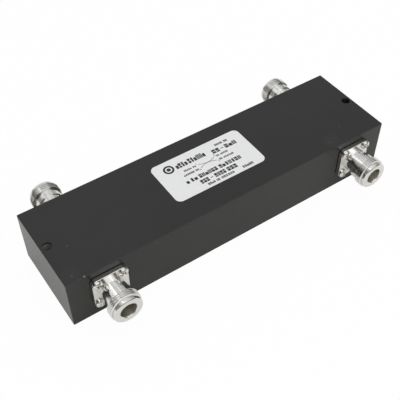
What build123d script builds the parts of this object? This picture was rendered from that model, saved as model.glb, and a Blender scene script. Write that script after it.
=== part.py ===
from build123d import *
from math import sqrt
import os

# Four-port hybrid coupler. Millimetres, +Z up, origin at the middle of the underside.
# The long sides face -Y (front) and +Y (back), the short ends face -X (left) and +X (right).

# Housing: one block milled from bar, open at the bottom
housing_length = 185.0
housing_width = 49.5
housing_height = 30.0
edge_break = 0.3
top_wall = 3.0
cavity_corner = 5.0

# Mounting holes, straight through the solid ends
mount_hole_bore = 4.5
mount_hole_break = 0.25
mount_hole_end_wall = 1.15
mount_hole_cover_wall = 1.85

# Cover plate, let into the underside, with a raised land that is the lower ground plane
cover_thickness = 3.0
cover_side_wall = 2.25
cover_corner = 4.0
cover_gap = 0.1
land_height = 4.4
land_gap = 0.2

# Countersunk screws that hold the cover plate
cover_screw_bore = 2.0
cover_screw_head = 3.8
cover_screw_length = 7.0
cover_screw_sink = 0.1
cover_screw_edge = 0.6
cover_screws_per_side = 6
cover_row_inset = 10.0

# Pan-head screws that hold the flanges
flange_screw_bore = 2.5
flange_screw_head = 4.8
flange_screw_head_height = 1.9
flange_screw_rim = 0.8
flange_screw_length = 8.0
flange_screw_neck_gap = 0.58
flange_screw_edge = 0.05
screw_clearance = 0.1
screw_hole_spare = 0.6

# Jack shell: lengths along its axis
gasket_thickness = 0.4
flange_thickness = 2.1
neck_length = 5.8
collar_length = 3.8
thread_length = 3.7
thread_chamfer = 0.6
nose_length = 1.2
nose_chamfer = 0.4
bore_depth = 9.1

# Jack shell: diameters and steps
neck_diameter = 12.7
collar_step = 0.55
thread_diameter = 15.875
nose_step = 0.69
face_step = 0.6
mouth_chamfer = 0.4
bore_diameter = 8.2
line_bore_diameter = 7.0
spigot_wall = 1.45
flange_break = 0.25
gasket_inset = 0.3
fit_gap = 0.05

# Insulator and socket contact
insulator_head_length = 2.4
contact_diameter = 3.04
contact_recess = 4.35
contact_tip_break = 0.3
contact_stop_diameter = 4.6
contact_stop_length = 0.8
socket_bore = 1.65
socket_depth = 6.0
socket_slot = 0.3
socket_slot_depth = 4.2
tail_flat_depth = 0.32
tail_overlap = 3.0

# Coupled strip conductors, one above and one below the jacks' axis
line_thickness = 1.5
line_end_gap = 3.0
line_wall_gap = 4.5
line_cross_reach = 4.0
arm_width = 9.0
arm_wall_gap = 2.0
mitre = 6.0
middle_half_length = 26.0
middle_width = 14.0
taper_length = 4.0

# Insulating combs that carry the strips
comb_thickness = 5.0
comb_bite = 2.0
comb_gap = 0.05

# Label
label_length = 52.6
label_width = 27.0
label_thickness = 0.15
label_corner = 3.0
label_shift = 1.6

# Along the housing: hole, cover, cavity and jacks follow one another in from the end
half_length = housing_length / 2
mount_hole_x = half_length - mount_hole_end_wall - mount_hole_bore / 2
cover_lip = cover_screw_head + 2 * cover_screw_edge
cover_half_length = mount_hole_x - mount_hole_bore / 2 - mount_hole_cover_wall
cavity_half_length = cover_half_length - cover_lip
jack_x = cavity_half_length - line_end_gap - arm_width / 2

# Across the housing
half_width = housing_width / 2
cover_half_width = half_width - cover_side_wall
cavity_half_width = cover_half_width - cover_lip
side_wall = half_width - cavity_half_width

# Upwards: the jacks' axis lies midway between the two ground planes
ceiling = housing_height - top_wall
land_top = cover_thickness + land_height
jack_height = (ceiling + land_top) / 2

# Stations outwards from the housing's long side, along a jack's axis
flange_back = gasket_thickness
flange_front = flange_back + flange_thickness
neck_end = flange_front + neck_length
collar_end = neck_end + collar_length
thread_end = collar_end + thread_length
nose_start = thread_end + thread_chamfer
nose_end = nose_start + nose_length
mouth_end = nose_end + nose_chamfer
bore_floor = mouth_end - bore_depth
contact_tip = mouth_end - contact_recess
spigot_end = insulator_head_length - side_wall
stop_end = -side_wall - contact_stop_length
tail_end = -side_wall - arm_wall_gap - tail_overlap

# Fits that several pieces share
spigot_diameter = line_bore_diameter + 2 * spigot_wall
wall_bore_diameter = spigot_diameter + 2 * fit_gap
hole_diagonal = neck_diameter / 2 + flange_screw_head / 2 + flange_screw_neck_gap
flange_hole_spacing = sqrt(2) * hole_diagonal
flange_corner = flange_screw_head / 2 + flange_screw_edge
flange_side = flange_hole_spacing + 2 * flange_corner
line_spacing = contact_diameter - 2 * tail_flat_depth
taper_end = middle_half_length + taper_length
line_outer_edge = cavity_half_width - line_wall_gap

left, right = -1, 1
front, back = -1, 1
jack_places = {
    "front_left": (left, front),
    "front_right": (right, front),
    "back_left": (left, back),
    "back_right": (right, back),
}


def slab(half_x, half_y, corner, bottom, top):
    """A flat plate with rounded upright corners."""
    outline = RectangleRounded(2 * half_x, 2 * half_y, corner)
    return Pos(0, 0, bottom) * extrude(outline, top - bottom)


def turned(points):
    """A solid turned about the local Z axis from (radius, station) points."""
    outline = Polyline(*[(radius, 0, station) for radius, station in points], close=True)
    return revolve(make_face(outline), Axis.Z)


def rod(diameter, start, end):
    """A round bar along the local Z axis."""
    return Pos(0, 0, start) * extrude(Circle(diameter / 2), end - start)


def jack_frame(side_x, side_y):
    """Place of a jack: origin on the housing's long side, local Z pointing outwards."""
    origin = (side_x * jack_x, side_y * half_width, jack_height)
    return Plane(origin=origin, x_dir=(1, 0, 0), z_dir=(0, side_y, 0)).location


def flange_holes(diameter, start, end):
    """Four round bars at the corners of a flange."""
    corners = GridLocations(flange_hole_spacing, flange_hole_spacing, 2, 2)
    return [corner * rod(diameter, start, end) for corner in corners]


def cover_screw_places():
    """Two rows along the long sides, and one screw at the middle of each short end."""
    row_x = cover_half_length - cover_row_inset
    row_y = cover_half_width - cover_lip / 2
    end_x = cover_half_length - cover_lip / 2
    rows = GridLocations(2 * row_x / (cover_screws_per_side - 1), 2 * row_y,
                         cover_screws_per_side, 2)
    return list(rows) + [Pos(side * end_x, 0, 0) for side in (left, right)]


def mount_hole():
    """Cutter for a straight hole with a small chamfer at both faces."""
    bore = mount_hole_bore / 2
    points = [(0, 0), (bore + mount_hole_break, 0), (bore, mount_hole_break)]
    points += [(bore, housing_height - mount_hole_break)]
    points += [(bore + mount_hole_break, housing_height), (0, housing_height)]
    return turned(points)


def make_housing():
    """Milled block: cavity, cover rebate, jack bores, screw holes and mounting holes."""
    block = Box(housing_length, housing_width, housing_height)
    block = Pos(0, 0, housing_height / 2) * chamfer(block.edges(), edge_break)
    block -= slab(cavity_half_length, cavity_half_width, cavity_corner, 0, ceiling)
    block -= slab(cover_half_length, cover_half_width, cover_corner, 0, cover_thickness)
    tapped_bore = flange_screw_bore + screw_clearance
    tapped_end = flange_front - flange_screw_length - screw_hole_spare
    cutters = [rod(wall_bore_diameter, -side_wall, 0)]
    cutters += flange_holes(tapped_bore, tapped_end, 0)
    for side_x, side_y in jack_places.values():
        block -= [jack_frame(side_x, side_y) * cutter for cutter in cutters]
    cover_hole_end = cover_screw_sink + cover_screw_length + screw_hole_spare
    cover_hole = rod(cover_screw_bore + screw_clearance, 0, cover_hole_end)
    block -= [place * cover_hole for place in cover_screw_places()]
    block -= [Pos(side * mount_hole_x, 0, 0) * mount_hole() for side in (left, right)]
    return block


def make_cover_plate():
    """Milled lid with countersunk holes and a raised land that fills the cavity's mouth."""
    plate = slab(cover_half_length - cover_gap, cover_half_width - cover_gap,
                 cover_corner - cover_gap, 0, cover_thickness)
    plate += slab(cavity_half_length - land_gap, cavity_half_width - land_gap,
                  cavity_corner - land_gap, cover_thickness, land_top)
    mouth = cover_screw_head / 2 + cover_screw_sink
    shank = cover_screw_bore / 2 + screw_clearance
    countersink = turned([(0, 0), (mouth, 0), (shank, mouth - shank), (shank, cover_thickness),
                          (0, cover_thickness)])
    return plate - [place * countersink for place in cover_screw_places()]


def make_cover_screws():
    """Countersunk screws, their heads just below the underside."""
    head = cover_screw_head / 2
    shank = cover_screw_bore / 2
    tip = cover_screw_sink + cover_screw_length
    screw = turned([(0, cover_screw_sink), (head, cover_screw_sink),
                    (shank, cover_screw_sink + head - shank), (shank, tip), (0, tip)])
    return Compound(children=[place * screw for place in cover_screw_places()])


def make_jack_shell():
    """Turned shell: spigot, square flange, neck, collar, thread, nose and open mouth."""
    flange = extrude(RectangleRounded(flange_side, flange_side, flange_corner), flange_thickness)
    flange = chamfer(flange.faces().sort_by(Axis.Z)[-1].edges(), flange_break)
    flange = Pos(0, 0, flange_back) * flange
    flange -= flange_holes(flange_screw_bore + 2 * screw_clearance, flange_back, flange_front)
    shell = flange + rod(spigot_diameter, spigot_end, flange_back)
    neck = neck_diameter / 2
    collar = neck + collar_step
    thread = thread_diameter / 2
    nose = thread - nose_step
    shell += turned([(0, flange_back), (neck, flange_back), (neck, neck_end), (collar, neck_end),
                     (collar, collar_end), (thread, collar_end), (thread, thread_end),
                     (nose, nose_start), (nose, nose_end), (nose - face_step, mouth_end),
                     (0, mouth_end)])
    bore = bore_diameter / 2
    line_bore = line_bore_diameter / 2
    return shell - turned([(0, spigot_end), (line_bore, spigot_end), (line_bore, bore_floor),
                           (bore, bore_floor), (bore, mouth_end - mouth_chamfer),
                           (bore + mouth_chamfer, mouth_end), (0, mouth_end)])


def make_gasket():
    """Flat gasket between a flange and the housing."""
    side = flange_side - 2 * gasket_inset
    corner = flange_corner - gasket_inset
    gasket = extrude(RectangleRounded(side, side, corner), gasket_thickness)
    gasket -= rod(wall_bore_diameter, 0, gasket_thickness)
    return gasket - flange_holes(flange_screw_bore + 2 * screw_clearance, 0, gasket_thickness)


def make_insulator():
    """Bead round the contact, with a wider head that butts against the shell's spigot."""
    inner = contact_diameter / 2 + fit_gap
    outer = line_bore_diameter / 2 - fit_gap
    head = spigot_diameter / 2
    return turned([(inner, -side_wall), (head, -side_wall), (head, spigot_end),
                   (outer, spigot_end), (outer, bore_floor), (inner, bore_floor)])


def make_contact(flat_side):
    """Slotted socket, stop ring, and a tail milled flat where the strip is soldered on."""
    radius = contact_diameter / 2
    stop = contact_stop_diameter / 2
    socket_end = contact_tip - socket_depth
    contact = turned([(0, tail_end), (radius, tail_end), (radius, stop_end),
                      (stop, stop_end), (stop, -side_wall), (radius, -side_wall),
                      (radius, contact_tip - contact_tip_break),
                      (radius - contact_tip_break, contact_tip), (socket_bore / 2, contact_tip),
                      (socket_bore / 2, socket_end), (0, socket_end)])
    slot_place = Pos(0, 0, contact_tip - socket_slot_depth / 2)
    contact -= slot_place * Box(contact_diameter, socket_slot, socket_slot_depth)
    contact -= slot_place * Box(socket_slot, contact_diameter, socket_slot_depth)
    flat = Pos(0, flat_side * (radius - tail_flat_depth / 2), (tail_end + stop_end) / 2)
    return contact - flat * Box(contact_diameter, tail_flat_depth, stop_end - tail_end)


def make_flange_screw():
    """Pan-head screw, its head on the flange's front face."""
    head = flange_screw_head / 2
    shank = flange_screw_bore / 2
    rim = flange_front + flange_screw_rim
    crown = flange_front + flange_screw_head_height
    tip = flange_front - flange_screw_length
    dome = crown - rim
    dome_radius = (head ** 2 + dome ** 2) / (2 * dome)
    outline = Polyline((0, crown), (0, tip), (shank, tip), (shank, flange_front),
                       (head, flange_front), (head, rim))
    outline += RadiusArc((head, rim), (0, crown), -dome_radius)
    return revolve(Plane.XZ * make_face(outline), Axis.Z)


def make_flange_screws():
    """All the flange screws as one group."""
    screw = make_flange_screw()
    corners = GridLocations(flange_hole_spacing, flange_hole_spacing, 2, 2)
    frames = [jack_frame(side_x, side_y) for side_x, side_y in jack_places.values()]
    return Compound(children=[frame * corner * screw for frame in frames for corner in corners])


def upper_line_edges(x):
    """Front and back edge of the upper strip at a place along its middle or outer sections."""
    if abs(x) <= middle_half_length:
        return -middle_width / 2, middle_width / 2
    if x < 0:
        return -line_outer_edge, line_cross_reach
    return -line_cross_reach, line_outer_edge


def make_upper_line():
    """Strip from the front left jack to the back right jack, the same after half a turn."""
    middle = middle_width / 2
    front_edge, back_edge = upper_line_edges(-taper_end)
    arm_outer = jack_x + arm_width / 2
    arm_inner = jack_x - arm_width / 2
    arm_tip = arm_wall_gap - cavity_half_width
    left_half = [(-middle_half_length, middle), (-taper_end, back_edge)]
    left_half += [(mitre - arm_outer, back_edge), (-arm_outer, back_edge - mitre)]
    left_half += [(-arm_outer, arm_tip), (-arm_inner, arm_tip), (-arm_inner, front_edge)]
    left_half += [(-taper_end, front_edge), (-middle_half_length, -middle)]
    right_half = [(-x, -y) for x, y in left_half]
    strip = extrude(make_face(Polyline(*left_half, *right_half, close=True)), line_thickness)
    return Pos(0, 0, jack_height + line_spacing / 2) * strip


def make_lower_line():
    """The same strip turned over, from the back left jack to the front right jack."""
    return Rot(180, 0, 0) * Pos(0, 0, -2 * jack_height) * make_upper_line()


def make_comb(station, side_y):
    """Comb against a side wall, from the cover's land to the ceiling, slotted for both strips."""
    upper_front, upper_back = upper_line_edges(station)
    upper_edge, lower_edge = upper_back, -upper_front
    if side_y == front:
        upper_edge, lower_edge = -upper_front, upper_back
    upper_slot = upper_edge + comb_gap
    lower_slot = lower_edge + comb_gap
    slot_near = line_spacing / 2 - comb_gap
    slot_far = line_spacing / 2 + line_thickness + comb_gap
    middle_tip = min(upper_slot, lower_slot) - comb_bite
    wall = cavity_half_width
    floor, roof = land_top - jack_height, ceiling - jack_height
    profile = [(wall, floor), (lower_slot - comb_bite, floor), (lower_slot - comb_bite, -slot_far)]
    profile += [(lower_slot, -slot_far), (lower_slot, -slot_near), (middle_tip, -slot_near)]
    profile += [(middle_tip, slot_near), (upper_slot, slot_near), (upper_slot, slot_far)]
    profile += [(upper_slot - comb_bite, slot_far), (upper_slot - comb_bite, roof), (wall, roof)]
    outline = Polyline(*[(0, side_y * y, z) for y, z in profile], close=True)
    comb = extrude(make_face(outline), comb_thickness / 2, dir=(1, 0, 0), both=True)
    return Pos(station, 0, jack_height) * comb


def make_label():
    """Thin film label with rounded corners."""
    film = slab(label_length / 2, label_width / 2, label_corner, 0, label_thickness)
    return Pos(0, label_shift, housing_height) * film


nodes = {
    "housing": make_housing(),
    "cover_plate": make_cover_plate(),
    "cover_screws": make_cover_screws(),
    "label": make_label(),
    "flange_screws": make_flange_screws(),
    "upper_line": make_upper_line(),
    "lower_line": make_lower_line(),
}
for place, (side_x, side_y) in jack_places.items():
    frame = jack_frame(side_x, side_y)
    # The local Y axis points up at the front jacks and down at the back ones
    flat_side = -side_x
    nodes["jack_shell_" + place] = frame * make_jack_shell()
    nodes["gasket_" + place] = frame * make_gasket()
    nodes["insulator_" + place] = frame * make_insulator()
    nodes["contact_" + place] = frame * make_contact(flat_side)
comb_station = (taper_end + jack_x - arm_width / 2) / 2
comb_stations = {"left": -comb_station, "middle": 0.0, "right": comb_station}
for place, station in comb_stations.items():
    nodes["comb_front_" + place] = make_comb(station, front)
    nodes["comb_back_" + place] = make_comb(station, back)

os.makedirs("parts", exist_ok=True)
for name, solid in nodes.items():
    export_step(solid, "parts/" + name + ".step")
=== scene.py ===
import random
from math import cos, pi, radians, sin

import bpy
from mathutils import Matrix, Vector


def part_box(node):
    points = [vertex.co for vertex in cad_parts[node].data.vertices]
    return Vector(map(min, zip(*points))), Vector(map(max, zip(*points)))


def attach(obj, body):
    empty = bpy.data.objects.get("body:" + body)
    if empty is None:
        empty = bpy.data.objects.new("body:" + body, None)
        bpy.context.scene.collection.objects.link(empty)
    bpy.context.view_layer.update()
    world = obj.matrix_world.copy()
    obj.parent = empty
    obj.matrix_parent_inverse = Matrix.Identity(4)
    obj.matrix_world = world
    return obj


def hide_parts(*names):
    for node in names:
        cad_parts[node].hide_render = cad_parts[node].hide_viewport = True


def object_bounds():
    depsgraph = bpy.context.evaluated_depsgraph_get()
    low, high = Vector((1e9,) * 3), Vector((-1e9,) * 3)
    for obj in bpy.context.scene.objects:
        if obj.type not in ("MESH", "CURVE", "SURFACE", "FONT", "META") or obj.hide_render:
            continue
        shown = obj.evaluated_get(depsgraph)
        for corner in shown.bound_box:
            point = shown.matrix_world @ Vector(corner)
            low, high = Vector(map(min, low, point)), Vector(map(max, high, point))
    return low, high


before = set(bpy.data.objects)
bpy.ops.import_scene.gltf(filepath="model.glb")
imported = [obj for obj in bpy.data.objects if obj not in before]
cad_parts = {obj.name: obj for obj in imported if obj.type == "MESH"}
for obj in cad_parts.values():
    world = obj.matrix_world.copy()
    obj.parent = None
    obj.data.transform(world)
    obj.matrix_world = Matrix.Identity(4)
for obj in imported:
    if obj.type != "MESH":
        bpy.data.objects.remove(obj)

cad_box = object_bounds()
mm = 0.001


# Housing: a block milled from aluminium bar, bead-blasted and anodised black, with a satin skin and
# fine grain. A small chamfer breaks its edges, and the skin is thinnest there and a little paler. A few
# specks and smears lie on the top. The wall of the left mounting hole is painted pale below its rim: painted
# light standing in for the lit inside of the hole.

def linear(hex_colour):
    """Linear colour of an sRGB hex value."""
    parts = [int(hex_colour[i:i + 2], 16) / 255 for i in (1, 3, 5)]
    return [p / 12.92 if p <= 0.04045 else ((p + 0.055) / 1.055) ** 2.4 for p in parts] + [1.0]


def add_node(material, kind, inputs=None, **settings):
    """A shader node with its settings and its inputs, each a value or another node's output."""
    made = material.node_tree.nodes.new(kind)
    for name, value in settings.items():
        setattr(made, name, value)
    for socket, value in (inputs or {}).items():
        if isinstance(value, bpy.types.NodeSocket):
            material.node_tree.links.new(value, made.inputs[socket])
        else:
            made.inputs[socket].default_value = value
    return made


def new_material(name):
    """An empty node material and the socket of its object coordinates."""
    material = bpy.data.materials.new(name)
    material.use_nodes = True
    material.node_tree.nodes.clear()
    return material, add_node(material, "ShaderNodeTexCoord").outputs["Object"]


def dress(piece, material):
    """Gives a piece one material."""
    piece.data.materials.clear()
    piece.data.materials.append(material)


def black_anodised():
    """Anodised aluminium: a thin black skin over blasted metal, satin, with a weak mirror image."""
    grain_size = 0.35 * mm   # real blasting grit is about 0.1 mm, drawn coarser so that it shows
    mottle_size = 14 * mm
    flat_share = 0.9         # a normal's largest part is smaller than this on a chamfer only
    chamfer_wear = 0.25
    left_hole = (-89.1 * mm, 0, 0)
    hole_reach = 2.3 * mm
    hole_light_start = 1.0 * mm
    hole_light_full = 1.6 * mm
    specks = [(72.3, -13.8), (60.3, -20.3), (-81.5, -5.1), (-87.5, -21.3)]
    smears = [(62.0, -19.5), (-88.0, -20.0)]
    nicks = [(-83.1, -24.4)]
    mark_core = 0.3
    marks = [(specks, 0.45 * mm, 0.16), (smears, 6 * mm, 0.012), (nicks, 0.6 * mm, 0.5)]
    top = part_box("housing")[1].z
    material, place = new_material("black_anodised_aluminium")
    mottle = add_node(material, "ShaderNodeTexNoise", {
        "Vector": place, "Scale": 1 / mottle_size, "Detail": 3.0})
    colour = add_node(material, "ShaderNodeMix", {
        "Factor": mottle.outputs["Fac"], "A": linear("#2e2f2d"), "B": linear("#333432")},
        data_type="RGBA").outputs["Result"]
    facing = add_node(material, "ShaderNodeNewGeometry").outputs["Normal"]
    facing = add_node(material, "ShaderNodeVectorMath", {0: facing}, operation="ABSOLUTE").outputs["Vector"]
    facing = add_node(material, "ShaderNodeSeparateXYZ", {"Vector": facing})
    largest = add_node(material, "ShaderNodeMath", {
        0: facing.outputs["X"], 1: facing.outputs["Y"]}, operation="MAXIMUM").outputs["Value"]
    largest = add_node(material, "ShaderNodeMath", {
        0: largest, 1: facing.outputs["Z"]}, operation="MAXIMUM").outputs["Value"]
    on_chamfer = add_node(material, "ShaderNodeMath", {
        0: largest, 1: flat_share}, operation="LESS_THAN").outputs["Value"]
    wear = add_node(material, "ShaderNodeMath", {
        0: on_chamfer, 1: chamfer_wear}, operation="MULTIPLY").outputs["Value"]
    colour = add_node(material, "ShaderNodeMix", {
        "Factor": wear, "A": colour, "B": linear("#4a4a46")}, data_type="RGBA").outputs["Result"]
    # Painted light: inside the left mounting hole, below its rim, the colour is mixed towards pale grey to
    # stand in for the light seen in the hole.
    flattened = add_node(material, "ShaderNodeVectorMath", {
        0: place, 1: (1, 1, 0)}, operation="MULTIPLY").outputs["Vector"]
    from_hole = add_node(material, "ShaderNodeVectorMath", {
        0: flattened, 1: left_hole}, operation="DISTANCE").outputs["Value"]
    in_hole = add_node(material, "ShaderNodeMath", {
        0: from_hole, 1: hole_reach}, operation="LESS_THAN").outputs["Value"]
    height = add_node(material, "ShaderNodeSeparateXYZ", {"Vector": place}).outputs["Z"]
    painted_hole_light = add_node(material, "ShaderNodeMapRange", {
        "Value": height, "From Min": top - hole_light_start, "From Max": top - hole_light_full, "To Max": 1.0})
    painted_hole_light = add_node(material, "ShaderNodeMath", {
        0: painted_hole_light.outputs["Result"], 1: in_hole}, operation="MULTIPLY").outputs["Value"]
    colour = add_node(material, "ShaderNodeMix", {
        "Factor": painted_hole_light, "A": colour, "B": linear("#8f8d86")}, data_type="RGBA").outputs["Result"]
    for spots, radius, strength in marks:
        for x, y in spots:
            reach = add_node(material, "ShaderNodeVectorMath", {
                0: place, 1: (x * mm, y * mm, top)}, operation="DISTANCE").outputs["Value"]
            mark = add_node(material, "ShaderNodeMapRange", {
                "Value": reach, "From Min": radius, "From Max": radius * mark_core, "To Max": strength})
            colour = add_node(material, "ShaderNodeMix", {
                "Factor": mark.outputs["Result"], "A": colour, "B": linear("#b9b8b2")},
                data_type="RGBA").outputs["Result"]
    grain = add_node(material, "ShaderNodeTexNoise", {
        "Vector": place, "Scale": 1 / grain_size, "Detail": 2.0})
    roughness = add_node(material, "ShaderNodeMapRange", {
        "Value": grain.outputs["Fac"], "To Min": 0.2, "To Max": 0.3}).outputs["Result"]
    bump = add_node(material, "ShaderNodeBump", {
        "Height": grain.outputs["Fac"], "Strength": 0.15, "Distance": 0.02 * mm}).outputs["Normal"]
    shader = add_node(material, "ShaderNodeBsdfPrincipled", {
        "Base Color": colour, "Roughness": roughness, "Normal": bump, "IOR": 1.5,
        "Specular IOR Level": 0.22})
    add_node(material, "ShaderNodeOutputMaterial", {"Surface": shader.outputs["BSDF"]})
    return material


anodised = black_anodised()
dress(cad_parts["housing"], anodised)


# Cover plate: the same anodised aluminium, let flush into the underside. It is held by fourteen small
# countersunk steel screws with a black oxide skin and a cross recess, sunk a touch below the plate.

weld_distance = 0.0001 * mm


def settle(name):
    """The primitive just added, named, with its place, turn and size applied to its mesh."""
    made = bpy.context.object
    made.name = made.data.name = name
    bpy.ops.object.transform_apply(location=True, rotation=True, scale=True)
    return made


def turn_piece(name, stations, segments=48, hollow=False):
    """A piece turned about the Z axis, extruded and resized through (radius, height) stations.

    It starts from a disc, or if hollow from a ring, which is led back to its start and so closes.
    """
    bpy.ops.object.select_all(action="DESELECT")
    radius, height = stations[0]
    bpy.ops.mesh.primitive_circle_add(vertices=segments, radius=radius, location=(0, 0, height),
                                      fill_type="NOTHING" if hollow else "NGON")
    piece = settle(name)
    bpy.ops.object.mode_set(mode="EDIT")
    bpy.ops.mesh.select_all(action="SELECT")
    for next_radius, next_height in stations[1:] + (stations[:1] if hollow else []):
        bpy.ops.mesh.extrude_region_move(TRANSFORM_OT_translate={"value": (0, 0, next_height - height)})
        size = next_radius / radius
        bpy.ops.transform.resize(value=(size, size, 1), center_override=(0, 0, next_height))
        radius, height = next_radius, next_height
    bpy.ops.mesh.select_all(action="SELECT")
    if hollow:
        bpy.ops.mesh.remove_doubles(threshold=weld_distance)
    bpy.ops.mesh.normals_make_consistent(inside=False)
    bpy.ops.object.mode_set(mode="OBJECT")
    return piece


def apply_modifier(piece, kind, **settings):
    """Adds a modifier to a piece and applies it."""
    modifier = piece.modifiers.new(kind.lower(), kind)
    for name, value in settings.items():
        setattr(modifier, name, value)
    bpy.ops.object.select_all(action="DESELECT")
    bpy.context.view_layer.objects.active = piece
    piece.select_set(True)
    bpy.ops.object.modifier_apply(modifier=modifier.name)


def cut(piece, tool, operation="DIFFERENCE"):
    """Cuts a piece with a tool, or joins the tool to it, and removes the tool."""
    apply_modifier(piece, "BOOLEAN", object=tool, operation=operation, solver="EXACT")
    bpy.data.objects.remove(tool)


def edit_picked(piece, kind, wanted):
    """Opens a piece for editing with only the wanted vertices or edges selected."""
    mesh = piece.data
    for item in (*mesh.vertices, *mesh.edges, *mesh.polygons):
        item.select = False
    for item in mesh.vertices if kind == "VERT" else mesh.edges:
        item.select = wanted(item)
    bpy.context.tool_settings.mesh_select_mode = (kind == "VERT", kind == "EDGE", False)
    bpy.ops.object.mode_set(mode="EDIT")


def cross_tool(width, slot, depth, top):
    """A tapered cross, the shape of a cross recess, reaching down from the height top."""
    taper = 0.45
    middle = top - depth / 2
    tool = None
    for length, breadth in ((width, slot), (slot, width)):
        bpy.ops.object.select_all(action="DESELECT")
        bpy.ops.mesh.primitive_cube_add(size=1, location=(0, 0, middle), scale=(length, breadth, depth))
        arm = settle("cross_arm")
        edit_picked(arm, "VERT", lambda vertex: vertex.co.z < middle)
        bpy.ops.transform.resize(value=(taper, taper, 1), center_override=(0, 0, top - depth))
        bpy.ops.object.mode_set(mode="OBJECT")
        if tool is None:
            tool = arm
        else:
            cut(tool, arm, "UNION")
    return tool


def place_copies(name, master, places):
    """One piece made of copies of a master, each copy at its own place, and the master removed."""
    copies = []
    for matrix in places:
        copy = master.copy()
        copy.data = master.data.copy()
        copy.data.transform(matrix)
        bpy.context.scene.collection.objects.link(copy)
        copies.append(copy)
    bpy.data.objects.remove(master)
    bpy.ops.object.select_all(action="DESELECT")
    for copy in copies:
        copy.select_set(True)
    bpy.context.view_layer.objects.active = copies[0]
    bpy.ops.object.join()
    piece = bpy.context.object
    piece.name = piece.data.name = name
    return piece


def steel_skin(name, colour_hex, roughness_low, roughness_high):
    """Screw steel: rolled and headed, with faint rub marks that a driver leaves."""
    rub_size = 0.6 * mm
    material, place = new_material(name)
    rub = add_node(material, "ShaderNodeTexNoise", {"Vector": place, "Scale": 1 / rub_size, "Detail": 4.0})
    roughness = add_node(material, "ShaderNodeMapRange", {
        "Value": rub.outputs["Fac"], "To Min": roughness_low, "To Max": roughness_high}).outputs["Result"]
    bump = add_node(material, "ShaderNodeBump", {
        "Height": rub.outputs["Fac"], "Strength": 0.3, "Distance": 0.03 * mm}).outputs["Normal"]
    shader = add_node(material, "ShaderNodeBsdfPrincipled", {
        "Base Color": linear(colour_hex), "Metallic": 1.0, "Roughness": roughness, "Normal": bump})
    add_node(material, "ShaderNodeOutputMaterial", {"Surface": shader.outputs["BSDF"]})
    return material


dress(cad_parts["cover_plate"], anodised)
cover_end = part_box("cover_plate")[1].x
screws_low, screws_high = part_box("cover_screws")
cover_head_radius = 1.9 * mm
cover_shank_radius = 1.0 * mm
cover_cross_width = 2.2 * mm
cover_cross_slot = 0.7 * mm
cover_cross_depth = 1.1 * mm
cover_cross_top = 0.02 * mm
cover_screws_per_side = 6
cover_row_inset = 10.0 * mm
cover_gap = 0.1 * mm
cone_depth = cover_head_radius - cover_shank_radius
cover_screw = turn_piece("cover_screw", [
    (cover_head_radius, -screws_low.z), (cover_shank_radius, -screws_low.z - cone_depth),
    (cover_shank_radius, -screws_high.z)])
cut(cover_screw, cross_tool(cover_cross_width, cover_cross_slot, cover_cross_depth, cover_cross_top))
turned_over = Matrix.Rotation(pi, 4, "X")
row_x = cover_end + cover_gap - cover_row_inset
row_y = screws_high.y - cover_head_radius
end_x = screws_high.x - cover_head_radius
spots = [(row_x * (2 * i / (cover_screws_per_side - 1) - 1), side * row_y)
         for i in range(cover_screws_per_side) for side in (-1, 1)]
spots += [(-end_x, 0), (end_x, 0)]
driver_turns = random.Random(14)
cover_screws = place_copies("cover_screws_crosshead", cover_screw, [
    Matrix.Translation((x, y, 0)) @ turned_over @ Matrix.Rotation(driver_turns.uniform(0, pi), 4, "Z")
    for x, y in spots])
dress(cover_screws, steel_skin("black_oxide_steel", "#2c2b2a", roughness_low=0.32, roughness_high=0.5))
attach(cover_screws, "root")
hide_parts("cover_screws")


# Strips and combs: two silver-plated brass strips, one over the other, held at their edges by white
# insulating combs. They are closed in by the cover, so their own solids stand with plain finishes.

def silver_plate():
    """Silver-plated brass: pale and bright, with the soft cloudiness of a thin plating."""
    cloud_size = 3 * mm
    material, place = new_material("silver_plated_brass")
    cloud = add_node(material, "ShaderNodeTexNoise", {"Vector": place, "Scale": 1 / cloud_size})
    roughness = add_node(material, "ShaderNodeMapRange", {
        "Value": cloud.outputs["Fac"], "To Min": 0.2, "To Max": 0.4}).outputs["Result"]
    shader = add_node(material, "ShaderNodeBsdfPrincipled", {
        "Base Color": linear("#e2dfd6"), "Metallic": 1.0, "Roughness": roughness})
    add_node(material, "ShaderNodeOutputMaterial", {"Surface": shader.outputs["BSDF"]})
    return material


def white_insulator():
    """Turned and milled fluoropolymer: milky white, waxy, with faint tool marks."""
    tool_mark = 0.4 * mm
    material, place = new_material("white_fluoropolymer")
    marks = add_node(material, "ShaderNodeTexNoise", {"Vector": place, "Scale": 1 / tool_mark})
    bump = add_node(material, "ShaderNodeBump", {
        "Height": marks.outputs["Fac"], "Strength": 0.2, "Distance": 0.02 * mm}).outputs["Normal"]
    shader = add_node(material, "ShaderNodeBsdfPrincipled", {
        "Base Color": linear("#ecebe4"), "Roughness": 0.5, "IOR": 1.38, "Normal": bump})
    add_node(material, "ShaderNodeOutputMaterial", {"Surface": shader.outputs["BSDF"]})
    return material


silver = silver_plate()
insulating = white_insulator()
for name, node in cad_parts.items():
    if name.endswith("_line"):
        dress(node, silver)
    if name.startswith("comb_"):
        dress(node, insulating)


# Gaskets: flat black rubber sheets stamped to the flange's outline, which show as a thin dark line
# between each flange and the housing.

def gasket_rubber():
    """Stamped sheet rubber: dull black with a fine pebbled skin."""
    pebble_size = 0.3 * mm
    material, place = new_material("gasket_rubber")
    pebble = add_node(material, "ShaderNodeTexNoise", {"Vector": place, "Scale": 1 / pebble_size})
    bump = add_node(material, "ShaderNodeBump", {
        "Height": pebble.outputs["Fac"], "Strength": 0.3, "Distance": 0.02 * mm}).outputs["Normal"]
    shader = add_node(material, "ShaderNodeBsdfPrincipled", {
        "Base Color": linear("#1c1c1b"), "Roughness": 0.75, "Normal": bump})
    add_node(material, "ShaderNodeOutputMaterial", {"Surface": shader.outputs["BSDF"]})
    return material


rubber = gasket_rubber()
for name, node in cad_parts.items():
    if name.startswith("gasket_"):
        dress(node, rubber)


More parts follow.
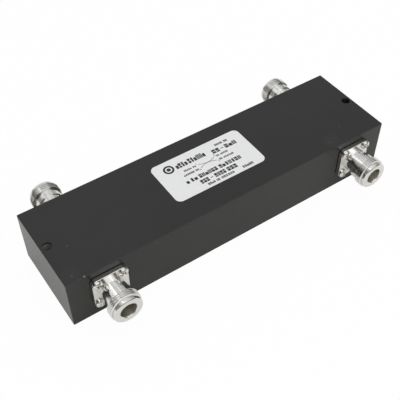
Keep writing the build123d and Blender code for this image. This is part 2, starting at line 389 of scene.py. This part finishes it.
# Jack shells: brass turned from bar, one piece with the square flange, then bright nickel-plated.
# Outwards from the flange come a plain neck, a collar, the cut thread between two narrow grooves, a
# smooth nose and the bored mouth. Turning leaves very fine rings, softened by the plating.

shell_segments = 128
smooth_angle = radians(20)


def thread_tool(pitch, root_radius, crest_radius, root_flat, crest_flat, start, end):
    """The groove of a right-hand thread as a solid wound round the Z axis between two heights."""
    depth = crest_radius - root_radius
    spare = 0.1 * depth
    mouth = pitch - crest_flat
    widest = mouth + spare * (mouth - root_flat) / depth
    half_diagonal = 0.5 ** 0.5
    bpy.ops.object.select_all(action="DESELECT")
    bpy.ops.mesh.primitive_circle_add(vertices=4, radius=half_diagonal, rotation=(pi / 2, pi / 4, 0))
    tool = settle("thread_tool")
    tool.data.transform(Matrix.Translation((root_radius + (depth + spare) / 2, 0, start))
                        @ Matrix.Diagonal((depth + spare, 1, widest, 1)))
    edit_picked(tool, "VERT", lambda vertex: vertex.co.x < root_radius + depth / 2)
    bpy.ops.transform.resize(value=(1, 1, root_flat / widest), center_override=(root_radius, 0, start))
    bpy.ops.object.mode_set(mode="OBJECT")
    turns = round((end - start) / pitch)
    apply_modifier(tool, "SCREW", axis="Z", angle=2 * pi, screw_offset=pitch, iterations=turns,
                   steps=shell_segments, render_steps=shell_segments, use_smooth_shade=False)
    bpy.ops.object.mode_set(mode="EDIT")
    bpy.ops.mesh.select_all(action="SELECT")
    bpy.ops.mesh.fill_holes(sides=4)
    bpy.ops.mesh.normals_make_consistent(inside=False)
    bpy.ops.object.mode_set(mode="OBJECT")
    return tool


def rounded_plate(name, centre, size, corner, segments):
    """A flat block with rounded upright corners."""
    bpy.ops.object.select_all(action="DESELECT")
    bpy.ops.mesh.primitive_cube_add(size=1, location=centre, scale=size)
    plate = settle(name)
    points = plate.data.vertices
    edit_picked(plate, "EDGE", lambda edge: len({points[i].co.z > centre[2] for i in edge.vertices}) == 2)
    bpy.ops.mesh.bevel(offset=corner, segments=segments)
    bpy.ops.object.mode_set(mode="OBJECT")
    return plate


def flange_plate(side, corner, chamfer, back, front):
    """A square plate with rounded corners and a chamfered front edge."""
    middle = (back + front) / 2
    plate = rounded_plate("flange_plate", (0, 0, middle), (side, side, front - back), corner, segments=10)
    points = plate.data.vertices
    edit_picked(plate, "EDGE", lambda edge: all(points[i].co.z > middle for i in edge.vertices))
    bpy.ops.mesh.bevel(offset=chamfer, segments=2)
    bpy.ops.object.mode_set(mode="OBJECT")
    return plate


def nickel_plate():
    """Bright nickel on turned brass: a mirror with fine rings about the jack's axis, duller in the bore."""
    ring_spacing = 0.35 * mm   # real feed marks are about 0.1 mm apart, drawn coarser so that they show
    stain_size = 2.5 * mm
    ring_stretch = 0.04
    bore_edge = 4.25 * mm
    bore_dulling = 0.27
    low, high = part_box("jack_shell_front_left")
    axis = (-(low.x + high.x) / 2, 0, (low.z + high.z) / 2)
    material, place = new_material("nickel_plated_brass")
    stain = add_node(material, "ShaderNodeTexNoise", {
        "Vector": place, "Scale": 1 / stain_size, "Detail": 4.0})
    colour = add_node(material, "ShaderNodeMix", {
        "Factor": stain.outputs["Fac"], "A": linear("#dddbd7"), "B": linear("#e9e8e5")},
        data_type="RGBA").outputs["Result"]
    across = add_node(material, "ShaderNodeMapping", {
        "Vector": place, "Scale": (ring_stretch, 1.0, ring_stretch)})
    rings = add_node(material, "ShaderNodeTexNoise", {
        "Vector": across.outputs["Vector"], "Scale": 1 / ring_spacing, "Detail": 3.0})
    folded = add_node(material, "ShaderNodeVectorMath", {0: place}, operation="ABSOLUTE").outputs["Vector"]
    flattened = add_node(material, "ShaderNodeVectorMath", {
        0: folded, 1: (1, 0, 1)}, operation="MULTIPLY").outputs["Vector"]
    from_axis = add_node(material, "ShaderNodeVectorMath", {
        0: flattened, 1: axis}, operation="DISTANCE").outputs["Value"]
    in_bore = add_node(material, "ShaderNodeMath", {
        0: from_axis, 1: bore_edge}, operation="LESS_THAN").outputs["Value"]
    colour = add_node(material, "ShaderNodeMix", {
        "Factor": in_bore, "A": colour, "B": linear("#d2d0c6")}, data_type="RGBA").outputs["Result"]
    roughness = add_node(material, "ShaderNodeMapRange", {
        "Value": rings.outputs["Fac"], "To Min": 0.08, "To Max": 0.18}).outputs["Result"]
    roughness = add_node(material, "ShaderNodeMath", {
        0: in_bore, 1: bore_dulling, 2: roughness}, operation="MULTIPLY_ADD").outputs["Value"]
    bump = add_node(material, "ShaderNodeBump", {
        "Height": rings.outputs["Fac"], "Strength": 0.3, "Distance": 0.03 * mm}).outputs["Normal"]
    shader = add_node(material, "ShaderNodeBsdfPrincipled", {
        "Base Color": colour, "Metallic": 1.0, "Roughness": roughness, "Normal": bump})
    add_node(material, "ShaderNodeOutputMaterial", {"Surface": shader.outputs["BSDF"]})
    return material


# Places along a jack's axis are measured outwards from the housing's wall.
jack_sides = {"front_left": -1, "front_right": -1, "back_left": 1, "back_right": 1}
shell_low, shell_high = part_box("jack_shell_front_left")
housing_low, housing_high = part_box("housing")
mouth_end = housing_low.y - shell_low.y
spigot_end = housing_low.y - shell_high.y
turned_edge = 0.07 * mm
flange_side = shell_high.x - shell_low.x
flange_back = 0.4 * mm
flange_front = 2.5 * mm
flange_corner = 2.45 * mm
flange_break = 0.12 * mm
neck_radius = 6.35 * mm
neck_start = flange_back + 0.5 * mm
neck_end = 8.3 * mm
collar_radius = 6.9 * mm
undercut_radius = 6.55 * mm
undercut_width = 0.4 * mm
collar_end = 12.1 * mm
thread_radius = 7.9375 * mm
thread_end = 15.8 * mm
thread_root = 7.288 * mm
thread_pitch = 25.4 / 24 * mm
root_flat = 0.2 * mm
crest_flat = 0.2 * mm
groove_lead_in = 0.6 * thread_pitch
groove_run_out = 0.9 * thread_pitch
nose_radius = 7.2475 * mm
relief_radius = 6.85 * mm
relief_start = 16.1 * mm
nose_start = 16.4 * mm
nose_end = 17.6 * mm
face_radius = 6.6475 * mm
bore_radius = 4.1 * mm
mouth_chamfer = 0.4 * mm
bore_floor = mouth_end - 9.1 * mm
line_bore_radius = 3.5 * mm
spigot_radius = 4.95 * mm
flange_bore_radius = 0.5 * (spigot_radius + neck_radius)
screw_hole_radius = 1.35 * mm
screw_spot = 6.597 * mm
screw_spots = [(x, y) for x in (-screw_spot, screw_spot) for y in (-screw_spot, screw_spot)]

shell = turn_piece("jack_shell", [
    (spigot_radius, spigot_end), (spigot_radius, neck_start),
    (neck_radius, neck_start), (neck_radius, neck_end),
    (collar_radius, neck_end), (collar_radius, collar_end - undercut_width),
    (undercut_radius, collar_end - undercut_width), (undercut_radius, collar_end),
    (thread_radius, collar_end), (thread_radius, thread_end), (nose_radius, relief_start),
    (relief_radius, relief_start), (relief_radius, nose_start),
    (nose_radius, nose_start), (nose_radius, nose_end), (face_radius, mouth_end),
    (bore_radius + mouth_chamfer, mouth_end), (bore_radius, mouth_end - mouth_chamfer),
    (bore_radius, bore_floor), (line_bore_radius, bore_floor), (line_bore_radius, spigot_end)],
    shell_segments, hollow=True)
apply_modifier(shell, "BEVEL", width=turned_edge, segments=2, limit_method="ANGLE", angle_limit=radians(30))
cut(shell, thread_tool(thread_pitch, thread_root, thread_radius, root_flat, crest_flat,
                       collar_end - groove_lead_in, nose_start + groove_run_out))
flange = flange_plate(flange_side, flange_corner, flange_break, flange_back, flange_front)
cut(flange, turn_piece("flange_bore", [
    (flange_bore_radius, -flange_front), (flange_bore_radius, 2 * flange_front)], segments=96))
flange_hole = turn_piece("flange_hole", [
    (screw_hole_radius, -flange_front), (screw_hole_radius, 2 * flange_front)], segments=24)
cut(flange, place_copies("flange_holes", flange_hole, [
    Matrix.Translation((x, y, 0)) for x, y in screw_spots]))
cut(shell, flange, "UNION")

nickel = nickel_plate()
to_front = Matrix.Rotation(pi / 2, 4, "X")
jack_frames = {}
for place, side in jack_sides.items():
    node_low, node_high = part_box("jack_shell_" + place)
    wall = housing_low.y if side < 0 else housing_high.y
    centre = Vector(((node_low.x + node_high.x) / 2, wall, (node_low.z + node_high.z) / 2))
    turned = Matrix.Rotation(0 if side < 0 else pi, 4, "Z")
    jack_frames[place] = Matrix.Translation(centre) @ turned @ to_front
    piece = place_copies("jack_shell_threaded_" + place, shell.copy(), [jack_frames[place]])
    bpy.ops.object.shade_smooth_by_angle(angle=smooth_angle)
    dress(piece, nickel)
    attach(piece, "root")
    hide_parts("jack_shell_" + place)
bpy.data.objects.remove(shell)


# Insulators and contacts: a white bead turned to fill each shell, and a gold-plated socket with four
# spring fingers that stands up in the mouth. Their own solids have the right shape and stay.

def gold_plate():
    """Gold over copper alloy: soft yellow, dulled inside the deep mouth."""
    cloud_size = 0.5 * mm
    material, place = new_material("gold_plated_contact")
    cloud = add_node(material, "ShaderNodeTexNoise", {"Vector": place, "Scale": 1 / cloud_size})
    roughness = add_node(material, "ShaderNodeMapRange", {
        "Value": cloud.outputs["Fac"], "To Min": 0.2, "To Max": 0.42}).outputs["Result"]
    shader = add_node(material, "ShaderNodeBsdfPrincipled", {
        "Base Color": linear("#d8cdb8"), "Metallic": 1.0, "Roughness": roughness})
    add_node(material, "ShaderNodeOutputMaterial", {"Surface": shader.outputs["BSDF"]})
    return material


gold = gold_plate()
for name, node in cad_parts.items():
    if name.startswith("insulator_"):
        dress(node, insulating)
    if name.startswith("contact_"):
        dress(node, gold)


# Flange screws: nickel-plated steel pan heads with a pressed cross recess, four to a flange, each
# turned home at its own angle.

flange_head_radius = 2.4 * mm
flange_head_rim = 0.8 * mm
flange_head_height = 1.9 * mm
flange_head_edge = 0.06 * mm
flange_screw_radius = 1.25 * mm
flange_screw_length = 8.0 * mm
flange_cross_width = 2.9 * mm
flange_cross_slot = 0.8 * mm
flange_cross_depth = 1.4 * mm
flange_cross_top = flange_head_height + 0.1 * mm
dome_height = flange_head_height - flange_head_rim
dome_radius = (flange_head_radius ** 2 + dome_height ** 2) / (2 * dome_height)
dome_rings = 8
stations = [(flange_screw_radius, -flange_screw_length), (flange_screw_radius, 0),
            (flange_head_radius, 0), (flange_head_radius, flange_head_rim)]
for ring in range(1, dome_rings):
    radius = flange_head_radius * cos(pi / 2 * ring / dome_rings)
    stations.append((radius, flange_head_height - dome_radius + (dome_radius ** 2 - radius ** 2) ** 0.5))
pan_head = turn_piece("flange_screw", stations)
apply_modifier(pan_head, "BEVEL", width=flange_head_edge, segments=2, limit_method="ANGLE",
               angle_limit=radians(40))
cut(pan_head, cross_tool(flange_cross_width, flange_cross_slot, flange_cross_depth, flange_cross_top))
driver_turns = random.Random(5)
flange_screws = place_copies("flange_screws_crosshead", pan_head, [
    jack @ Matrix.Translation((x, y, flange_front)) @ Matrix.Rotation(driver_turns.uniform(0, pi), 4, "Z")
    for jack in jack_frames.values() for x, y in screw_spots])
bpy.ops.object.shade_smooth_by_angle(angle=smooth_angle)
dress(flange_screws, steel_skin("nickel_plated_steel", "#dedcd7", roughness_low=0.1, roughness_high=0.22))
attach(flange_screws, "root")
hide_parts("flange_screws")


# Label: a white polyester film stuck on the top, with rounded corners and a thin cut edge. The print is
# black ink laid on top of it: rows of plain marks where words would stand, a plain ring sign, and the
# two crossing lines of a coupler with its four port numbers.

def label_film():
    """Polyester film: white, evenly coated, with a slight sheen."""
    coat_size = 1.2 * mm
    material, place = new_material("white_polyester_film")
    coat = add_node(material, "ShaderNodeTexNoise", {
        "Vector": place, "Scale": 1 / coat_size, "Detail": 3.0})
    colour = add_node(material, "ShaderNodeMix", {
        "Factor": coat.outputs["Fac"], "A": linear("#f4f4f2"), "B": linear("#f9f9f7")},
        data_type="RGBA").outputs["Result"]
    shader = add_node(material, "ShaderNodeBsdfPrincipled", {
        "Base Color": colour, "Roughness": 0.45, "IOR": 1.5})
    add_node(material, "ShaderNodeOutputMaterial", {"Surface": shader.outputs["BSDF"]})
    return material


def printed_ink(name, colour_hex):
    """Screen ink: dense, with small uneven spots where the film shows through."""
    spot_size = 0.25 * mm
    material, place = new_material(name)
    spots = add_node(material, "ShaderNodeTexNoise", {"Vector": place, "Scale": 1 / spot_size})
    worn = add_node(material, "ShaderNodeMapRange", {
        "Value": spots.outputs["Fac"], "From Min": 0.62, "From Max": 0.75, "To Max": 0.28}).outputs["Result"]
    colour = add_node(material, "ShaderNodeMix", {
        "Factor": worn, "A": linear(colour_hex), "B": linear("#dededc")},
        data_type="RGBA").outputs["Result"]
    shader = add_node(material, "ShaderNodeBsdfPrincipled", {"Base Color": colour, "Roughness": 0.5})
    add_node(material, "ShaderNodeOutputMaterial", {"Surface": shader.outputs["BSDF"]})
    return material


label_low, label_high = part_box("label")
label_size = label_high - label_low
label_x = (label_low.x + label_high.x) / 2
label_y = (label_low.y + label_high.y) / 2
label_corner = 3.0 * mm
ink_height = 0.02 * mm
film_top = label_high.z - ink_height
film = rounded_plate("label_film", (label_x, label_y, (label_low.z + film_top) / 2),
                     (label_size.x, label_size.y, film_top - label_low.z), label_corner, segments=8)
dress(film, label_film())
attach(film, "root")
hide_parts("label")

label_centre = Vector((label_x, label_y, film_top))
ink_places = []


def ink_bar(left, right, low, high, turn=0.0, thickness=ink_height):
    """Notes the place of an ink bar, given in millimetres from the middle of the label."""
    centre = label_centre + Vector(((left + right) / 2 * mm, (low + high) / 2 * mm, thickness / 2))
    ink_places.append(Matrix.Translation(centre) @ Matrix.Rotation(turn, 4, "Z")
                      @ Matrix.Diagonal(((right - left) * mm, (high - low) * mm, thickness, 1)))


def ink_letter(left, width, low, height):
    """One or two bars of uneven shape, as shares of the width and height that a letter would take."""
    kind = shapes.choice(("split", "pair", "low", "split", "stem"))
    if kind == "split":
        waist = shapes.choice((0.42, 0.55, 0.62))
        bars = [(0, 1, 0, waist - 0.09), (0, 1, waist + 0.01, 1)]
    elif kind == "pair":
        bars = [(0, 0.42, 0, 1), (0.58, 1, 0, 1)]
    elif kind == "low":
        bars = [(0, 1, 0, 0.72)]
    else:
        bars = [(0.15, 0.85, 0, 1)]
    for start, end, bottom, top in bars:
        ink_bar(left + start * width, left + end * width, low + bottom * height, low + top * height)


def ink_word(left, right, low, high, letters):
    """A run of uneven blocks that stands for a word with so many letters."""
    gap_share = 0.16
    gap = gap_share * (right - left) / letters
    width = (right - left + gap) / letters - gap
    for number in range(letters):
        ink_letter(left + number * (width + gap), width, low, high - low)


def ink_line(start, end, width, thickness):
    """A straight ruled line between two places on the label."""
    along = Vector(end) - Vector(start)
    middle = (Vector(end) + Vector(start)) / 2
    ink_bar(middle.x - along.length / 2, middle.x + along.length / 2,
            middle.y - width / 2, middle.y + width / 2, along.angle_signed(Vector((1, 0))), thickness)


# Each row of print has its lower and upper edge and its words, each with its two ends and its number of
# letters, all lengths in millimetres from the middle of the label.
print_rows = [
    (5.7, 9.0, [(-14.4, -7.9, 4), (-7.2, 2.7, 6)]),
    (8.8, 10.1, [(10.35, 14.9, 5), (15.8, 17.95, 2)]),
    (4.6, 7.3, [(6.45, 10.7, 2), (14.2, 20.95, 3)]),
    (2.1, 3.3, [(-12.7, -8.4, 5), (-7.6, -5.7, 2)]),
    (-0.7, 0.5, [(-14.4, -8.4, 6), (-7.6, -5.7, 2)]),
    (2.1, 3.3, [(6.7, 8.4, 2), (9.2, 13.55, 5)]),
    (-0.7, 0.5, [(6.7, 8.4, 2), (9.2, 15.1, 6)]),
    (-5.65, -3.15, [(-15.8, -14.3, 1), (-13.2, -9.55, 2), (-8.4, 2.3, 6), (3.55, 16.45, 7)]),
    (-9.5, -6.9, [(-9.9, -5.2, 3), (-1.7, 4.6, 4), (5.7, 11.45, 3)]),
    (-12.0, -10.6, [(-7.7, -3.6, 4), (-2.7, -0.9, 2), (0.2, 7.8, 6)]),
    (-12.0, -10.4, [(12.95, 19.3, 5)]),
]
shapes = random.Random(23)
for low, high, words in print_rows:
    for left, right, letters in words:
        ink_word(left, right, low, high, letters)
dashes = [(11.6, 13.3, 5.75, 6.2), (-4.3, -2.8, -8.4, -8.0)]
for left, right, low, high in dashes:
    ink_bar(left, right, low, high)

# One line of the coupler's drawing bends through these places, and the other is its mirror image.
# Strokes that meet or cross differ a little in thickness, so that no two faces lie in one plane.
line_bends = [(-4.3, 1.4), (-1.9, 0.35), (3.1, -0.35), (5.45, -1.4)]
drawing_middle = 1.4
stroke_width = 0.24
mirrored_share = 0.9
outer_share = 0.95
for side, thickness in ((1, ink_height), (-1, mirrored_share * ink_height)):
    bends = [(x, drawing_middle + side * y) for x, y in line_bends]
    ink_line(bends[0], bends[1], stroke_width, outer_share * thickness)
    ink_line(bends[1], bends[2], stroke_width, thickness)
    ink_line(bends[2], bends[3], stroke_width, outer_share * thickness)
bpy.ops.object.select_all(action="DESELECT")
bpy.ops.mesh.primitive_cube_add(size=1)
ink_marks = [place_copies("ink_bars", bpy.context.object, ink_places)]

sign_centre = Vector((-18.3 * mm, 7.75 * mm, 0))
sign_outer = 2.85 * mm
sign_inner = 1.8 * mm
sign_dot = 1.1 * mm
sign = turn_piece("ink_ring", [
    (sign_inner, 0), (sign_outer, 0), (sign_outer, ink_height), (sign_inner, ink_height)],
    segments=64, hollow=True)
dot = turn_piece("ink_dot", [(sign_dot, 0), (sign_dot, ink_height)], segments=32)
for mark in (sign, dot):
    mark.data.transform(Matrix.Translation(label_centre + sign_centre))
    ink_marks.append(mark)

digit_size = 1.6 * mm
port_numbers = [("1", -5.0, 3.7), ("2", 6.0, 3.7), ("3", 6.0, -0.9), ("4", -5.0, -0.9)]
for number, x, y in port_numbers:
    bpy.ops.object.select_all(action="DESELECT")
    bpy.ops.object.text_add()
    digit = bpy.context.object
    digit.data.body = number
    digit.data.size = digit_size
    digit.data.extrude = ink_height / 2
    digit.data.align_x = "CENTER"
    digit.data.align_y = "CENTER"
    bpy.ops.object.convert(target="MESH")
    digit.data.transform(Matrix.Translation(label_centre + Vector((x * mm, y * mm, ink_height / 2))))
    bpy.ops.object.mode_set(mode="EDIT")
    bpy.ops.mesh.select_all(action="SELECT")
    bpy.ops.mesh.remove_doubles(threshold=weld_distance)
    bpy.ops.object.mode_set(mode="OBJECT")
    ink_marks.append(digit)

bpy.ops.object.select_all(action="DESELECT")
for mark in ink_marks:
    mark.select_set(True)
bpy.context.view_layer.objects.active = ink_marks[0]
bpy.ops.object.join()
label_print = bpy.context.object
label_print.name = label_print.data.name = "label_print"
dress(label_print, printed_ink("black_screen_ink", "#161616"))
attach(label_print, "root")


# Floor, light and camera: the block lies on a white sweep under a wide pale ceiling, with a large soft
# lamp behind the camera and thin strips overhead and to the left, which draw streaks on the jacks.

def sweep_white():
    """Matt white sweep that keeps shadows; the camera, and partly reflections, see it as plain white.

    From below it is clear, also where the block touches it, so that the underside can be looked at.
    """
    camera_share = 0.97
    reflection_share = 0.35
    material, place = new_material("white_sweep")
    rays = add_node(material, "ShaderNodeLightPath")
    mirrored = add_node(material, "ShaderNodeMath", {
        0: rays.outputs["Is Glossy Ray"], 1: rays.outputs["Is Transmission Ray"]},
        operation="MAXIMUM").outputs["Value"]
    mirrored = add_node(material, "ShaderNodeMath", {
        0: mirrored, 1: reflection_share}, operation="MULTIPLY").outputs["Value"]
    seen = add_node(material, "ShaderNodeMath", {
        0: rays.outputs["Is Camera Ray"], 1: camera_share}, operation="MULTIPLY").outputs["Value"]
    share = add_node(material, "ShaderNodeMath", {
        0: seen, 1: mirrored}, operation="MAXIMUM").outputs["Value"]
    matt = add_node(material, "ShaderNodeBsdfDiffuse", {"Color": linear("#fffdf8")})
    bright = add_node(material, "ShaderNodeEmission", {"Strength": 1.0})
    mixed = add_node(material, "ShaderNodeMixShader", {
        "Fac": share, 1: matt.outputs["BSDF"], 2: bright.outputs["Emission"]})
    below = add_node(material, "ShaderNodeNewGeometry").outputs["Backfacing"]
    touching = add_node(material, "ShaderNodeMath", {
        0: rays.outputs["Ray Length"], 1: 2 * floor_gap}, operation="LESS_THAN").outputs["Value"]
    cleared = add_node(material, "ShaderNodeMath", {
        0: below, 1: touching}, operation="MAXIMUM").outputs["Value"]
    clear = add_node(material, "ShaderNodeBsdfTransparent")
    surface = add_node(material, "ShaderNodeMixShader", {
        "Fac": cleared, 1: mixed.outputs["Shader"], 2: clear.outputs["BSDF"]})
    add_node(material, "ShaderNodeOutputMaterial", {"Surface": surface.outputs["Shader"]})
    return material


floor_size = 6.0
floor_gap = 0.05 * mm
bpy.ops.object.select_all(action="DESELECT")
bpy.ops.mesh.primitive_plane_add(size=floor_size, location=(0, 0, cad_box[0].z - floor_gap))
floor = settle("sweep")
dress(floor, sweep_white())


def studio_world():
    """A room with a pale, slightly uneven ceiling, darker to both sides and towards the viewer's side.

    The camera sees plain white behind the object instead.
    """
    brightness = 0.84
    left_dim = 0.33
    right_dim = 0.5
    near_dim = 0.4
    to_far_side = (0.25, 0.75, 0.6)
    seam_stretch = 0.03
    seam_scale = 11.0
    world = bpy.data.worlds.new("studio")
    world.use_nodes = True
    world.node_tree.nodes.clear()
    rays = add_node(world, "ShaderNodeLightPath")
    direction = add_node(world, "ShaderNodeTexCoord").outputs["Generated"]
    across = add_node(world, "ShaderNodeSeparateXYZ", {"Vector": direction}).outputs["X"]
    left_side = add_node(world, "ShaderNodeMapRange", {
        "Value": across, "From Min": -0.68, "From Max": -0.42, "To Min": left_dim}).outputs["Result"]
    right_side = add_node(world, "ShaderNodeMapRange", {
        "Value": across, "From Min": 0.85, "From Max": 0.3, "To Min": right_dim}).outputs["Result"]
    depth = add_node(world, "ShaderNodeVectorMath", {
        0: direction, 1: to_far_side}, operation="DOT_PRODUCT").outputs["Value"]
    near_side = add_node(world, "ShaderNodeMapRange", {
        "Value": depth, "From Min": 0.15, "From Max": -0.1,
        "To Min": brightness, "To Max": near_dim * brightness}).outputs["Result"]
    along_seams = add_node(world, "ShaderNodeVectorMath", {
        0: direction, 1: (1, seam_stretch, 1)}, operation="MULTIPLY").outputs["Vector"]
    seams = add_node(world, "ShaderNodeTexNoise", {
        "Vector": along_seams, "Scale": seam_scale, "Detail": 1.0})
    seams = add_node(world, "ShaderNodeMapRange", {
        "Value": seams.outputs["Fac"], "From Min": 0.35, "From Max": 0.65,
        "To Min": 0.6, "To Max": 1.4}).outputs["Result"]
    room = left_side
    for share in (right_side, seams, near_side):
        room = add_node(world, "ShaderNodeMath", {
            0: room, 1: share}, operation="MULTIPLY").outputs["Value"]
    soft = add_node(world, "ShaderNodeBackground", {"Color": (0.97, 0.98, 1, 1), "Strength": room})
    white = add_node(world, "ShaderNodeBackground", {"Color": (1, 1, 1, 1), "Strength": 1.0})
    backdrop = add_node(world, "ShaderNodeMixShader", {
        "Fac": rays.outputs["Is Camera Ray"], 1: soft.outputs["Background"],
        2: white.outputs["Background"]})
    add_node(world, "ShaderNodeOutputWorld", {"Surface": backdrop.outputs["Shader"]})
    return world


def add_lamp(name, place, target, length, width, power, turn=0.0):
    """A soft box in metres and watts at a place, facing a target, its length turned about its own axis."""
    data = bpy.data.lights.new(name, "AREA")
    data.shape = "RECTANGLE"
    data.size = length
    data.size_y = width
    data.energy = power
    lamp = bpy.data.objects.new(name, data)
    bpy.context.scene.collection.objects.link(lamp)
    aim = (Vector(target) - Vector(place)).to_track_quat("-Z", "Y").to_matrix().to_4x4()
    lamp.matrix_world = Matrix.Translation(place) @ aim @ Matrix.Rotation(turn, 4, "Z")


bpy.context.scene.world = studio_world()
add_lamp("strip_lamp", (-0.08, 0.02, 0.9), (-0.08, 0.02, 0.0), length=1.7, width=0.055, power=0.45,
         turn=radians(119.5))
add_lamp("key_lamp", (0.1, -0.75, 0.95), (0.0, 0.0, 0.02), length=1.5, width=1.5, power=5.5)
tube_distance = 1.2
tube_y = 0.75
for number, lean in ((1, radians(44)), (2, radians(64))):
    spot = (-tube_distance * sin(lean), tube_y, tube_distance * cos(lean))
    add_lamp("tube_lamp_%d" % number, spot, (0.0, tube_y, 0.02), length=0.9, width=0.02, power=0.14,
             turn=radians(90))

# The camera's place and turn were fitted to the block's corners and the jacks' outlines in the photo.
camera = bpy.data.objects.new("camera", bpy.data.cameras.new("camera"))
bpy.context.scene.collection.objects.link(camera)
bpy.context.scene.camera = camera
camera.data.lens = 65.0
camera.data.sensor_width = 36.0
camera.location = (-0.14558, -0.20674, 0.28219)
camera.rotation_euler = (radians(42.411), radians(0.222), radians(-34.241))
camera.data.clip_start = 0.01

bpy.context.scene.view_settings.view_transform = "Standard"
